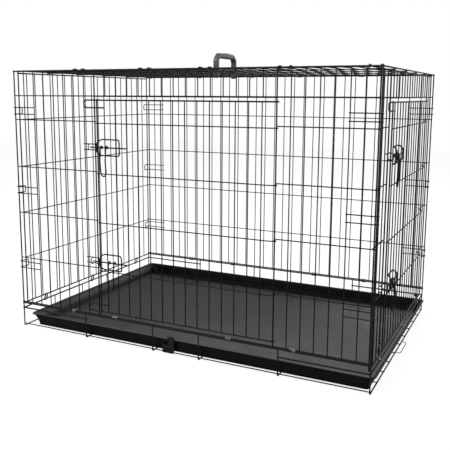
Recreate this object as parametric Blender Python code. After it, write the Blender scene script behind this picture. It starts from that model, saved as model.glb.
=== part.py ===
"""A folding wire pet cage with two doors and a pull-out tray, piece by piece.

Metres, +Z up.  The length runs along X, -Y is the front, and the origin is on the
underside of the floor wire left of the middle, at mid depth.  The sizes and the
functions below count X from the middle of the cage; MIDDLE moves it all over.
"""
import math

import bmesh
import bpy
from mathutils import Matrix, Vector

# The cage
CAGE_LENGTH = 1.070          # between the centres of the corner wires
CAGE_DEPTH = 0.710           # between the planes of the front and back panels
PANEL_BOTTOM = 0.078         # bottom wire of the front and back panels
PANEL_HEIGHT = 0.692         # from that wire to the top wire
LEFT_END_BOTTOM = 0.076      # the left end folds down on top of the right end
RIGHT_END_BOTTOM = 0.057
END_INSET = 0.0065           # end panels stand inside the corner wires
END_DROP = 0.0052            # end panels' top rails, below the front's and back's
END_SIDE_GAP = 0.0100        # from the front panel's plane to an end panel's edge
RAIL_SHARES = (0.10, 0.20, 0.40, 0.60, 0.80)   # heights of the level wires, from the top

# Wires: radius of the six-sided section, measured to its corners
WIRE_RADIUS = 0.0015
RAIL_RADIUS = 0.0021
POST_RADIUS = 0.0020
BASE_RADIUS = 0.0019
LATCH_RADIUS = 0.0020
GUIDE_RADIUS = 0.0020
PULL_RADIUS = 0.0019
STAPLE_RADIUS = 0.00125
WIRE_SIDES = 6
FLAT = math.cos(math.pi / WIRE_SIDES)          # centre to flat, as a share of the radius
GAP = 0.0003                 # between pieces that touch
WELD = 0.0003                # how deep a welded wire sinks into its neighbour
NUB = 0.0015                 # wire that sticks out past a crossing
BEND = 0.003                 # cut across the corner of a bent wire

# Grilles
FRONT_BARS = 31
END_BARS = 21
DOOR_FIRST_FRONT = 8         # bar that the front door latches to
DOOR_FIRST_END = 3
DOOR_PITCHES = 15            # both doors are this many bars wide

# Doors, measured from the bar that they latch to
DOOR_POST_STEP = 0.0112      # to the door's own edge wire
DOOR_TOP_DROP = 0.0108       # below the panel's second level wire
DOOR_BOTTOM_RISE = 0.014     # above the panel's bottom wire
DOOR_RAIL_DROP = 0.0042      # door wires sit this much lower than the panel's
FINGER_REACH = 0.032         # finger loops pass the latch bar by this much
FINGER_HEIGHT = 0.0205
EYE_STEPS = 6

# Slide bolts
BOLT_HEIGHTS = {"upper": 0.562, "lower": 0.240}
BOLT_TIP = -0.0078           # from the latch bar, door closed and bolt drawn clear
BOLT_LENGTH = 0.118
STAPLE_STEP = 0.0113         # keeper staple, beyond the latch bar
STAPLE_HEIGHT = 0.016
GUIDE_START = 0.0178
GUIDE_LENGTH = 0.0737
GUIDE_HEIGHT = 0.044
GUIDE_EASE = 0.008
PULL_STEPS = {"upper": 0.0385, "lower": 0.0565}
PULL_WIDTH = 0.0175
PULL_LENGTH = 0.078
PULL_BULGE = 0.0035

# Hooks that hold the corners together
HOOK_SHARES = (0.163, 0.50, 0.83)
HOOK_HEIGHT = 0.019
HOOK_BARS = 2                # bars that a hook's arms cross
HOOK_REACH = 0.025

# Top
TOP_SIDE_GAP = 0.004         # top panel's edge wires, inside the corner wires
TOP_FRONT_GAP = 0.011        # top panel's long wires, inside the front and back planes
TOP_HOOK_GAPS = (6, 12, 17, 23, 29)
TOP_HOOK_WIDTH = 0.027
TOP_HOOK_DROP = 0.010
TOP_RAIL_SHARES = (-0.3, -0.1, 0.1, 0.3)

# Base grid and tray
BASE_STEP = 0.071            # between the long floor wires
EDGE_WIRE_INSET = 0.008
CROSS_INSET = 0.235          # second cross wires, from the ends
CROSS_NEAR = 0.072           # third cross wires, from the middle
LEFT_RAIL_HEIGHT = 0.058      # end rails, which the end panels' rings hang from
RIGHT_RAIL_HEIGHT = 0.0525
END_RAIL_RADIUS = 0.0023
WRAP_RADIUS = 0.0022
LEFT_UPRIGHTS = (-3, -1, 1, 3)
TRAY_LEFT_INSET = 0.042      # edges of the tray's flat underside, from the corner wires
TRAY_RIGHT_INSET = 0.007
TRAY_SIDE_INSET = 0.015
TRAY_TOP = 0.0400
TRAY_FLARES = (0.0020, 0.0200, 0.0120)         # at the sides, left end and right end
TRAY_WAIST = (0.3, 0.5)      # share of the flare at that share of the height
TRAY_LIP_WIDTH = 0.005
TRAY_LIP_DEPTH = 0.0035
TRAY_WALL = 0.002
TRAY_CORNER = 0.008
TRAY_CORNER_STEPS = 4

# Rings of flat strip that link the panels, in the gap after the bar of that number
RING_THICKNESS = 0.0012
RING_LENGTH = 0.016
END_RING_LENGTH = 0.006
FRONT_RING_GAPS = (5, 9, 19, 24)
BACK_RING_GAPS = (5, 10, 19, 24)
END_RING_GAPS = (2, 10, 17)
TOP_RING_GAPS = (0, 6, 12, 17, 23, 29)

# Small parts
CATCH_AT = -0.027
CATCH_WIDTH = 0.032
CATCH_TAB_WIDTH = 0.020
CATCH_TAB_SHIFT = 0.0105     # the tab stands to the right of the barrel's middle
CATCH_BOSS_HEIGHT = 0.024
CATCH_HEIGHT = 0.050
CATCH_THICKNESS = 0.0026
CATCH_BARREL = 0.0038
CATCH_HOOK = 0.005           # how far it reaches in over the lip
CATCH_PLAY = 0.0008          # from the hook down to the lip
STOP_AT = -0.016
STOP_WIDTH = 0.090
STOP_LENGTH = 0.014
STOP_RADIUS = 0.0010
HANDLE_AT = -0.050
HANDLE_SPAN = 0.1185
HANDLE_RISE = 0.0475
HANDLE_WIDTH = 0.0175
HANDLE_LEG = 0.012
HANDLE_THICKNESS = 0.015
HANDLE_FOOT = 0.0175
HANDLE_BORE = 0.0021

# What follows from the sizes above
PANEL_TOP = PANEL_BOTTOM + PANEL_HEIGHT
END_TOP = PANEL_TOP - END_DROP
FLAT_WIRE = WIRE_RADIUS * FLAT
WELD_STEP = 2 * FLAT_WIRE + GAP                # a level wire clears a thin bar, meets a post
OVER_POST = POST_RADIUS + WIRE_RADIUS + GAP    # a hook's or keeper's wire clears a post too
RAIL_HEIGHTS = [PANEL_TOP - share * PANEL_HEIGHT for share in RAIL_SHARES]
END_X = CAGE_LENGTH / 2 - END_INSET
END_WIDTH = CAGE_DEPTH - 2 * END_SIDE_GAP
TOP_Z = END_TOP + RAIL_RADIUS + GAP + WELD_STEP + FLAT_WIRE
BASE_RAIL_HEIGHT = PANEL_BOTTOM - 2 * RAIL_RADIUS - GAP
HALF_LENGTH, HALF_DEPTH = CAGE_LENGTH / 2, CAGE_DEPTH / 2
CROSS_FAR = HALF_LENGTH - CROSS_INSET
CROSS_PLACES = (-HALF_LENGTH, -CROSS_FAR, -CROSS_NEAR, CROSS_NEAR, CROSS_FAR, HALF_LENGTH)
CROSS_Z = BASE_RADIUS * FLAT
FLOOR_WIRE_Z = 2 * CROSS_Z + FLAT_WIRE - WELD
TRAY_Z = FLOOR_WIRE_Z + FLAT_WIRE + GAP
EYE_COS = math.cos(math.pi / 8)
DOOR_OUT = (POST_RADIUS + RAIL_RADIUS + GAP) / EYE_COS
PULL_EYE = (LATCH_RADIUS + PULL_RADIUS + GAP) / math.cos(math.pi / 6)
BOLT_OUT = DOOR_OUT + FLAT_WIRE + 2 * GAP + PULL_EYE + PULL_RADIUS
GUIDE_OUT = BOLT_OUT + LATCH_RADIUS + GAP + GUIDE_RADIUS

MIDDLE = Matrix.Translation((-CROSS_PLACES[2], 0, 0))

PARTS = "folding_pet_cage"
GUIDES = "joined_wires_and_cutters"
X, Y, Z = Vector((1, 0, 0)), Vector((0, 1, 0)), Vector((0, 0, 1))


def clear_scene():
    for item in list(bpy.data.objects):
        bpy.data.objects.remove(item, do_unlink=True)
    for name in (PARTS, GUIDES):
        collection = bpy.data.collections.new(name)
        bpy.context.scene.collection.children.link(collection)


def material(name, colour, roughness, metallic):
    made = bpy.data.materials.new(name)
    made.use_nodes = True
    shader = made.node_tree.nodes["Principled BSDF"]
    shader.inputs["Base Color"].default_value = (*colour, 1)
    shader.inputs["Roughness"].default_value = roughness
    shader.inputs["Metallic"].default_value = metallic
    return made


def plane(origin, across, up):
    """A panel's own frame: across, up and outward, from a point on the panel."""
    turn = Matrix((across, up, across.cross(up))).transposed().to_4x4()
    return MIDDLE @ Matrix.Translation(origin) @ turn


# Wires

def straight(bm, start, end, radius, flat=Z):
    """Add a straight six-sided wire whose flats face along flat."""
    start, end = Vector(start), Vector(end)
    along = (end - start).normalized()
    turn = Matrix((flat, along.cross(flat), along)).transposed().to_4x4()
    place = Matrix.Translation((start + end) / 2) @ turn
    bmesh.ops.create_cone(bm, cap_ends=True, segments=WIRE_SIDES, radius1=radius,
                          radius2=radius, depth=(end - start).length, matrix=place)


def eased(points, cut, closed):
    """Cut each corner of a path across, so that the wire keeps its width there."""
    points = [Vector(point) for point in points]
    result = []
    for index, point in enumerate(points):
        if not closed and index in (0, len(points) - 1):
            result.append(point)
            continue
        for other in (points[index - 1], points[(index + 1) % len(points)]):
            result.append(point + (other - point).normalized() * cut)
    return result


def corner_scale(points, index, closed):
    if not closed and index in (0, len(points) - 1):
        return 1.0
    before = (points[index] - points[index - 1]).normalized()
    after = (points[(index + 1) % len(points)] - points[index]).normalized()
    return 1 / math.cos(before.angle(after) / 2)


def bent(bm, points, radius, cut=BEND, closed=False, resolution=1):
    """Add a bent wire along a path; its first stretch has its flats facing Z."""
    points = eased(points, cut, closed) if cut else [Vector(point) for point in points]
    curve = bpy.data.curves.new("wire", "CURVE")
    curve.dimensions = "3D"
    curve.twist_mode = "MINIMUM"
    curve.bevel_depth = radius
    curve.bevel_resolution = resolution
    curve.use_fill_caps = True
    spline = curve.splines.new("POLY")
    spline.points.add(len(points) - 1)
    spline.use_cyclic_u = closed
    for index, point in enumerate(points):
        spline.points[index].co = (*point, 1)
        spline.points[index].radius = corner_scale(points, index, closed)
    holder = bpy.data.objects.new("wire", curve)
    bpy.context.scene.collection.objects.link(holder)
    graph = bpy.context.evaluated_depsgraph_get()
    mesh = bpy.data.meshes.new_from_object(holder.evaluated_get(graph))
    bpy.data.objects.remove(holder)
    loose = bmesh.new()
    loose.from_mesh(mesh)
    bmesh.ops.remove_doubles(loose, verts=loose.verts, dist=1e-6)
    loose.to_mesh(mesh)
    loose.free()
    bm.from_mesh(mesh)
    bpy.data.meshes.remove(mesh)


def arc(centre, radius, first, last, steps, toward, across):
    """Points on an arc, at angles in degrees from toward round to across."""
    for step in range(steps + 1):
        angle = math.radians(first + (last - first) * step / steps)
        yield centre + radius * (math.cos(angle) * toward + math.sin(angle) * across)


def piece(name, bm, place, finish, pivot=(0, 0, 0), guide=False):
    """Make an object of the mesh, in its panel's frame, with its origin at pivot."""
    pivot = Vector(pivot)
    bmesh.ops.translate(bm, verts=bm.verts, vec=-pivot)
    mesh = bpy.data.meshes.new(name)
    bmesh.ops.recalc_face_normals(bm, faces=bm.faces)
    bm.to_mesh(mesh)
    bm.free()
    made = bpy.data.objects.new(name, mesh)
    made.matrix_world = place @ Matrix.Translation(pivot)
    if finish:
        mesh.materials.append(finish)
    bpy.data.collections[GUIDES if guide else PARTS].objects.link(made)
    if guide:
        made.hide_render = True
        made.display_type = "WIRE"
    return made


def boolean(target, tool, operation):
    step = target.modifiers.new(tool.name, "BOOLEAN")
    step.operation = operation
    step.solver = "EXACT"
    step.object = tool


def wired(name, groups, place, finish, pivot=(0, 0, 0)):
    """Join groups of wires into one piece; the wires of a group don't touch."""
    target = piece(name, groups[0], place, finish, pivot)
    for number, group in enumerate(groups[1:], 1):
        tool = piece(f"{name}_wires_{number}", group, place, None, pivot, guide=True)
        boolean(target, tool, "UNION")
    return target


# Panels, each in its own frame: across, up, outward

def bar_places(count, width):
    return [width * (index / (count - 1) - 0.5) for index in range(count)]


def gap_place(gap, count, width):
    places = bar_places(count, width)
    return (places[gap] + places[gap + 1]) / 2


def grille(width, count, bottom, top, door_first=None):
    """Bars and level wires of a panel, with a doorway after bar door_first."""
    bars, rails = bmesh.new(), bmesh.new()
    places = bar_places(count, width)
    posts = {0, count - 1}
    header = RAIL_HEIGHTS[0]
    if door_first is not None:
        posts |= {door_first, door_first + DOOR_PITCHES}
    for index, across in enumerate(places):
        radius = POST_RADIUS if index in posts else WIRE_RADIUS
        in_doorway = door_first is not None and door_first < index < door_first + DOOR_PITCHES
        foot = header if in_doorway else bottom
        head = top + (RAIL_RADIUS + NUB if index in posts else 0)
        straight(bars, (across, foot, 0), (across, head, 0), radius)
    for height in (bottom, top):
        straight(rails, (places[0], height, 0), (places[-1], height, 0), RAIL_RADIUS)
    inside = -WELD_STEP
    for height in RAIL_HEIGHTS:
        start, end = places[0] - POST_RADIUS, places[-1] + POST_RADIUS
        if door_first is None:
            straight(rails, (start, height, inside), (end, height, inside), WIRE_RADIUS)
            continue
        near, far = places[door_first], places[door_first + DOOR_PITCHES]
        straight(rails, (start, height, inside), (near, height, inside), WIRE_RADIUS)
        straight(rails, (far, height, inside), (end, height, inside), WIRE_RADIUS)
    if door_first is not None:
        straight(rails, (near + GAP, header, 0), (far - GAP, header, 0), RAIL_RADIUS)
    return bars, rails


def corner_hooks(prefix, place, steel):
    """Hairpins whose arms cross the last bars, turn the corner and grip the end panel."""
    pitch = CAGE_LENGTH / (FRONT_BARS - 1)
    turn_in = END_SIDE_GAP - POST_RADIUS - GAP
    beside = END_INSET - POST_RADIUS - WIRE_RADIUS - GAP
    half = HOOK_HEIGHT / 2
    places = [(share, side) for share in HOOK_SHARES for side in (-1, 1)]
    for number, (share, side) in enumerate(places, 1):
        height = PANEL_TOP - share * PANEL_HEIGHT
        start = side * (HALF_LENGTH - HOOK_BARS * pitch - POST_RADIUS)
        corner = side * (HALF_LENGTH + OVER_POST)
        tip = side * (HALF_LENGTH - beside)
        arm = [(start, OVER_POST), (corner, OVER_POST), (corner, -turn_in),
               (tip, -END_SIDE_GAP - POST_RADIUS), (tip, -HOOK_REACH)]
        path = [(across, height + half, out) for across, out in arm]
        path += [(across, height - half, out) for across, out in reversed(arm)]
        bm = bmesh.new()
        bent(bm, path, WIRE_RADIUS)
        piece(f"{prefix}_corner_hook_{number}", bm, place, steel)


def keepers(prefix, places, door_first, place, steel):
    """At each bolt, two short level wires left of the latch bar, with a staple on them."""
    near, far = places[door_first] + POST_RADIUS, places[door_first - 1] - NUB
    across = places[door_first] - STAPLE_STEP
    half = STAPLE_HEIGHT / 2
    out = BOLT_OUT + LATCH_RADIUS + GAP + STAPLE_RADIUS
    for name, height in BOLT_HEIGHTS.items():
        levels, staple = bmesh.new(), bmesh.new()
        for level in (height - half, height + half):
            straight(levels, (near, level, OVER_POST), (far, level, OVER_POST), WIRE_RADIUS)
        bent(staple, [(across, height - half, OVER_POST), (across, height - half, out),
                      (across, height + half, out), (across, height + half, OVER_POST)],
             STAPLE_RADIUS)
        wired(f"{prefix}_{name}_keeper", (levels, staple), place, steel)


def front_panel(place, steel):
    groups = grille(CAGE_LENGTH, FRONT_BARS, PANEL_BOTTOM, PANEL_TOP, DOOR_FIRST_FRONT)
    wired("front_panel", groups, place, steel)
    corner_hooks("front", place, steel)
    keepers("front", bar_places(FRONT_BARS, CAGE_LENGTH), DOOR_FIRST_FRONT, place, steel)


def back_panel(place, steel):
    wired("back_panel", grille(CAGE_LENGTH, FRONT_BARS, PANEL_BOTTOM, PANEL_TOP), place, steel)
    corner_hooks("back", place, steel)


def end_panel(name, place, steel, bottom, door_first=None):
    groups = grille(END_WIDTH, END_BARS, bottom, END_TOP, door_first)
    wired(name, groups, place, steel, pivot=(0, bottom, 0))
    if door_first is not None:
        keepers("end", bar_places(END_BARS, END_WIDTH), door_first, place, steel)


# Doors and their latches

class Doorway:
    """Where a door hangs in a panel: its latch bar, its hinge bar and its bars between."""

    def __init__(self, count, width, first, panel_bottom):
        places = bar_places(count, width)
        self.latch = places[first]
        self.hinge = places[first + DOOR_PITCHES]
        self.bars = places[first + 1:first + DOOR_PITCHES]
        self.bottom = panel_bottom + DOOR_BOTTOM_RISE
        self.top = RAIL_HEIGHTS[0] - DOOR_TOP_DROP
        self.post = self.latch + DOOR_POST_STEP


def hinge_eye(doorway, height, radius):
    """Path round the hinge bar, from its outer side round to the doorway again."""
    reach = (POST_RADIUS + radius + GAP) / EYE_COS
    centre = Vector((doorway.hinge, height, 0))
    return list(arc(centre, reach, 90, -180, EYE_STEPS, X, Z))


def door_frame_wire(bm, doorway, height, toward_middle):
    """A long wire of the door: eye, level run, and a finger loop past the latch bar."""
    tip = doorway.latch - FINGER_REACH
    back = height + toward_middle * FINGER_HEIGHT
    loop = [(doorway.bars[0] + NUB, back, DOOR_OUT), (tip, back, DOOR_OUT),
            (tip, height, DOOR_OUT)]
    loop = eased(loop, FINGER_HEIGHT / 3, False)
    path = loop[:-1] + eased([loop[-2], (tip, height, DOOR_OUT), (doorway.hinge, height, DOOR_OUT)],
                             FINGER_HEIGHT / 3, False)[1:-1]
    bent(bm, path + hinge_eye(doorway, height, RAIL_RADIUS), RAIL_RADIUS, cut=None)


def door(name, doorway, place, steel):
    bars, rails = bmesh.new(), bmesh.new()
    for across in doorway.bars:
        straight(bars, (across, doorway.bottom, DOOR_OUT), (across, doorway.top, DOOR_OUT),
                 WIRE_RADIUS)
    straight(bars, (doorway.post, doorway.bottom - RAIL_RADIUS - NUB, DOOR_OUT),
             (doorway.post, doorway.top + RAIL_RADIUS + NUB, DOOR_OUT), POST_RADIUS)
    door_frame_wire(rails, doorway, doorway.top, -1)
    door_frame_wire(rails, doorway, doorway.bottom, 1)
    out = DOOR_OUT + WELD_STEP
    for height in RAIL_HEIGHTS[1:]:
        level = height - DOOR_RAIL_DROP
        eye = hinge_eye(doorway, level, WIRE_RADIUS)
        path = [Vector((doorway.post - POST_RADIUS, level, out)),
                Vector((doorway.hinge - 3 * POST_RADIUS, level, out))]
        bent(rails, path + eye, WIRE_RADIUS, cut=None)
    wired(name, (bars, rails), place, steel, pivot=(doorway.hinge, 0, 0))


def bolt_guide(name, doorway, height, place, steel):
    """A rounded frame on two bars, whose upright sides bow out over the bolt."""
    left = doorway.latch + GUIDE_START
    right = left + GUIDE_LENGTH
    low, high = height - GUIDE_HEIGHT / 2, height + GUIDE_HEIGHT / 2
    level = DOOR_OUT + FLAT_WIRE + GAP + GUIDE_RADIUS
    ease = GUIDE_EASE
    path = [(left + ease, high, level), (right - ease, high, level),
            (right, high - ease, GUIDE_OUT), (right, low + ease, GUIDE_OUT),
            (right - ease, low, level), (left + ease, low, level),
            (left, low + ease, GUIDE_OUT), (left, high - ease, GUIDE_OUT)]
    bm = bmesh.new()
    bent(bm, path, GUIDE_RADIUS, cut=None, closed=True)
    piece(name, bm, place, steel)


def bolt(name, doorway, height, place, steel):
    bm = bmesh.new()
    start = doorway.latch + BOLT_TIP
    straight(bm, (start, height, BOLT_OUT), (start + BOLT_LENGTH, height, BOLT_OUT),
             LATCH_RADIUS)
    piece(name, bm, place, steel, pivot=(start, height, BOLT_OUT))


def pull(name, doorway, height, step, place, steel):
    """A hairpin whose two ends are curled round the bolt, hanging down in front."""
    middle = doorway.latch + step
    half = PULL_WIDTH / 2
    low = height - PULL_LENGTH
    front = BOLT_OUT + PULL_EYE
    side = []
    for across in (middle - half, middle + half):
        centre = Vector((across, height, BOLT_OUT))
        eye = list(arc(centre, PULL_EYE, 240, 0, 4, Z, Y))
        bow = [Vector((across, height - 0.45 * PULL_LENGTH, front + PULL_BULGE)),
               Vector((across, low + half, front))]
        side.append(eye + bow)
    foot = [Vector((middle - half / 2, low, front)), Vector((middle + half / 2, low, front))]
    bm = bmesh.new()
    bent(bm, side[0] + foot + side[1][::-1], PULL_RADIUS, cut=None)
    piece(name, bm, place, steel, pivot=(middle, height, BOLT_OUT))


def door_set(prefix, doorway, place, steel):
    door(f"{prefix}_door", doorway, place, steel)
    for level, height in BOLT_HEIGHTS.items():
        bolt_guide(f"{prefix}_{level}_guide", doorway, height, place, steel)
        bolt(f"{prefix}_{level}_bolt", doorway, height, place, steel)
        pull(f"{prefix}_{level}_pull", doorway, height, PULL_STEPS[level], place, steel)


# Top

def top_panel(place, steel):
    bars, rails, hooks = bmesh.new(), bmesh.new(), bmesh.new()
    half_depth = CAGE_DEPTH / 2 - TOP_FRONT_GAP
    half_length = CAGE_LENGTH / 2 - TOP_SIDE_GAP
    for across in bar_places(FRONT_BARS, CAGE_LENGTH)[1:-1]:
        straight(bars, (across, -half_depth, 0), (across, half_depth, 0), WIRE_RADIUS)
    for across in (-half_length, half_length):
        straight(bars, (across, -half_depth - RAIL_RADIUS, 0),
                 (across, half_depth + RAIL_RADIUS, 0), POST_RADIUS)
    for up in (-half_depth, half_depth):
        straight(rails, (-half_length, up, 0), (half_length, up, 0), RAIL_RADIUS)
    for share in TOP_RAIL_SHARES:
        up = share * CAGE_DEPTH
        straight(rails, (-half_length - POST_RADIUS, up, -WELD_STEP),
                 (half_length + POST_RADIUS, up, -WELD_STEP), WIRE_RADIUS)
    out = RAIL_RADIUS * FLAT + FLAT_WIRE - WELD
    front = -CAGE_DEPTH / 2 - RAIL_RADIUS - WIRE_RADIUS - GAP
    for gap in TOP_HOOK_GAPS:
        middle = gap_place(gap, FRONT_BARS, CAGE_LENGTH)
        left, right = middle - TOP_HOOK_WIDTH / 2, middle + TOP_HOOK_WIDTH / 2
        back = -half_depth + RAIL_RADIUS + NUB
        bent(hooks, [(left, back, out), (left, front, out), (left, front, out - TOP_HOOK_DROP),
                     (right, front, out - TOP_HOOK_DROP), (right, front, out),
                     (right, back, out)], WIRE_RADIUS)
    hinge = (0, CAGE_DEPTH / 2, PANEL_TOP - TOP_Z)
    wired("top_panel", (bars, rails, hooks), place, steel, pivot=hinge)


def carry_handle(place, plastic):
    """A moulded grip that stands on one cross wire of the top and swings on it."""
    half = HANDLE_SPAN / 2
    side = HANDLE_WIDTH
    edge, inside = half + HANDLE_LEG / 2, half - HANDLE_LEG / 2
    outer = [(-edge, -HANDLE_FOOT), (-edge, HANDLE_RISE - side * 0.6),
             (side - edge, HANDLE_RISE + side * 0.35), (0, HANDLE_RISE + side * 0.5),
             (edge - side, HANDLE_RISE + side * 0.35),
             (edge, HANDLE_RISE - side * 0.6), (edge, -HANDLE_FOOT)]
    inner = [(inside, -HANDLE_FOOT), (inside, HANDLE_RISE - side * 0.8),
             (inside - side / 2, HANDLE_RISE - side * 0.45), (0, HANDLE_RISE - side * 0.5),
             (side / 2 - inside, HANDLE_RISE - side * 0.45),
             (-inside, HANDLE_RISE - side * 0.8), (-inside, -HANDLE_FOOT)]
    bm = bmesh.new()
    corners = [bm.verts.new((-HANDLE_THICKNESS / 2, up, out)) for up, out in outer + inner]
    face = bm.faces.new(corners)
    pulled = bmesh.ops.extrude_face_region(bm, geom=[face])
    moved = [item for item in pulled["geom"] if isinstance(item, bmesh.types.BMVert)]
    bmesh.ops.translate(bm, verts=moved, vec=(HANDLE_THICKNESS, 0, 0))
    made = piece("carry_handle", bm, place @ Matrix.Translation((0, HANDLE_AT, 0)), plastic)
    cutter = bmesh.new()
    for up in (-half, half):
        straight(cutter, (0, up - side, 0), (0, up + side, 0), HANDLE_BORE)
    bore = piece("carry_handle_bores", cutter, made.matrix_world.copy(), None, guide=True)
    boolean(made, bore, "DIFFERENCE")


# Base and tray

def base_grid(steel):
    crosses, longs, ends = bmesh.new(), bmesh.new(), bmesh.new()
    for across in CROSS_PLACES:
        bent(crosses, [(across, -HALF_DEPTH, BASE_RAIL_HEIGHT), (across, -HALF_DEPTH, CROSS_Z),
                       (across, HALF_DEPTH, CROSS_Z), (across, HALF_DEPTH, BASE_RAIL_HEIGHT)],
             BASE_RADIUS)
    over = HALF_LENGTH + NUB + BASE_RADIUS
    end_rails = ((-1, CROSS_PLACES[1], LEFT_RAIL_HEIGHT), (1, CROSS_PLACES[-2], RIGHT_RAIL_HEIGHT))
    floor_places = [BASE_STEP * step for step in range(-4, 5)]
    floor_places += [-HALF_DEPTH + EDGE_WIRE_INSET, HALF_DEPTH - EDGE_WIRE_INSET]
    for up in floor_places:
        straight(longs, (-over, up, FLOOR_WIRE_Z), (over, up, FLOOR_WIRE_Z), WIRE_RADIUS)
    for up in (-HALF_DEPTH, HALF_DEPTH):
        straight(longs, (-over, up, BASE_RAIL_HEIGHT), (over, up, BASE_RAIL_HEIGHT),
                 RAIL_RADIUS, flat=Y)
        for side, across, height in end_rails:
            straight(longs, (side * HALF_LENGTH, up, height),
                     (across - side * (NUB + BASE_RADIUS), up, height), WRAP_RADIUS, flat=Y)
    for side, _, height in end_rails:
        straight(ends, (side * HALF_LENGTH, -HALF_DEPTH - BASE_RADIUS - NUB, height),
                 (side * HALF_LENGTH, HALF_DEPTH + BASE_RADIUS + NUB, height),
                 END_RAIL_RADIUS, flat=X)
    uprights = bmesh.new()
    for step in LEFT_UPRIGHTS:
        straight(uprights, (-HALF_LENGTH, step * BASE_STEP, CROSS_Z),
                 (-HALF_LENGTH, step * BASE_STEP, LEFT_RAIL_HEIGHT), WIRE_RADIUS, flat=X)
    wired("base_grid", (crosses, longs, ends, uprights), MIDDLE, steel)


def rounded_outline(left, right, half_depth, corner):
    """Points round a rectangle with rounded corners, as seen from above."""
    low, high = -half_depth + corner, half_depth - corner
    centres = ((right - corner, high, 0), (left + corner, high, 90),
               (left + corner, low, 180), (right - corner, low, 270))
    for across, up, first in centres:
        for step in range(TRAY_CORNER_STEPS + 1):
            angle = math.radians(first + 90 * step / TRAY_CORNER_STEPS)
            yield across + corner * math.cos(angle), up + corner * math.sin(angle)


def tray(plastic):
    """A moulded pan: flat floor, hollow-curved walls that flare at the ends, and a lip."""
    under = TRAY_TOP - TRAY_LIP_DEPTH
    waist = TRAY_Z + TRAY_WAIST[1] * (under - TRAY_Z)
    bevel = TRAY_WALL / 2
    lip = TRAY_LIP_WIDTH
    profile = ((0, 0, TRAY_Z), (TRAY_WAIST[0], 0, waist), (1, 0, under), (1, lip, under),
               (1, lip, TRAY_TOP - bevel), (1, lip - bevel, TRAY_TOP), (1, -TRAY_WALL, TRAY_TOP),
               (TRAY_WAIST[0], -TRAY_WALL, waist + bevel), (0, -TRAY_WALL, TRAY_Z + TRAY_WALL))
    bm = bmesh.new()
    loops = []
    for share, out, height in profile:
        side, left, right = (share * flare + out for flare in TRAY_FLARES)
        outline = rounded_outline(-HALF_LENGTH + TRAY_LEFT_INSET - left,
                                  HALF_LENGTH - TRAY_RIGHT_INSET + right,
                                  HALF_DEPTH - TRAY_SIDE_INSET + side, TRAY_CORNER + side)
        loops.append([bm.verts.new((across, up, height)) for across, up in outline])
    bm.faces.new(loops[0])
    bm.faces.new(loops[-1])
    for low, high in zip(loops, loops[1:]):
        for index, corner in enumerate(low):
            after = (index + 1) % len(low)
            bm.faces.new((corner, low[after], high[after], high[index]))
    piece("tray", bm, MIDDLE, plastic)


def slab(outline, start, end):
    """A flat outline of heights and distances out, pulled from start to end across."""
    bm = bmesh.new()
    face = bm.faces.new([bm.verts.new((start, up, away)) for up, away in outline])
    pulled = bmesh.ops.extrude_face_region(bm, geom=[face])
    moved = [item for item in pulled["geom"] if isinstance(item, bmesh.types.BMVert)]
    bmesh.ops.translate(bm, verts=moved, vec=(end - start, 0, 0))
    return bm


def tray_catch(plastic):
    """A moulded clip that turns on the front floor wire and hooks over the tray's lip."""
    place = plane((CATCH_AT, -HALF_DEPTH + EDGE_WIRE_INSET, FLOOR_WIRE_Z), X, Z)
    half = CATCH_WIDTH / 2
    out = CATCH_BARREL
    boss_top = CATCH_BOSS_HEIGHT - FLOOR_WIRE_Z
    boss = slab([(0, out), (boss_top, out), (boss_top, GAP), (0, GAP)], -half, half)
    made = piece("tray_catch", boss, place, plastic)
    face = out - CATCH_PLAY / 2
    back = face - CATCH_THICKNESS
    top = CATCH_HEIGHT - FLOOR_WIRE_Z
    low = TRAY_TOP + CATCH_PLAY - FLOOR_WIRE_Z
    high = low + CATCH_THICKNESS
    tab = slab([(GAP, face), (top, face), (top, back), (high, back), (high, -CATCH_HOOK),
                (low, -CATCH_HOOK), (low, back), (GAP, back)],
               CATCH_TAB_SHIFT - CATCH_TAB_WIDTH / 2, CATCH_TAB_SHIFT + CATCH_TAB_WIDTH / 2)
    boolean(made, piece("tray_catch_tab", tab, place, None, guide=True), "UNION")
    for name, radius, reach, operation in (("barrel", CATCH_BARREL, GAP, "UNION"),
                                           ("bore", WIRE_RADIUS + 2 * GAP, CATCH_WIDTH, "DIFFERENCE")):
        bm = bmesh.new()
        bmesh.ops.create_cone(bm, cap_ends=True, segments=12, radius1=radius, radius2=radius,
                              depth=CATCH_WIDTH + 2 * reach,
                              matrix=Matrix.Rotation(math.pi / 2, 4, "Y"))
        tool = piece(f"tray_catch_{name}", bm, place, None, guide=True)
        boolean(made, tool, operation)


def tray_stop(steel):
    """A wire bail over the right floor wire, laid out flat; raised, it blocks the tray.

    Its ends lie on top of the floor wire and stop short of its inner side, so they
    keep off the floor when the bail is raised.
    """
    place = plane((HALF_LENGTH, STOP_AT, CROSS_Z), Y, Z)
    over = BASE_RADIUS + STOP_RADIUS + GAP
    reach = over / FLAT
    half = STOP_WIDTH / 2
    corner = half / 8
    sides = []
    for across in (-half, half):
        sides.append([Vector((across, over, -reach / 6)), Vector((across, over, reach / 2)),
                      Vector((across, 0, reach)), Vector((across, 0, STOP_LENGTH - corner))])
    foot = [Vector((-half + corner, 0, STOP_LENGTH)), Vector((half - corner, 0, STOP_LENGTH))]
    bm = bmesh.new()
    bent(bm, sides[0] + foot + sides[1][::-1], STOP_RADIUS, cut=None)
    piece("tray_stop", bm, place, steel)


# Rings

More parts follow.
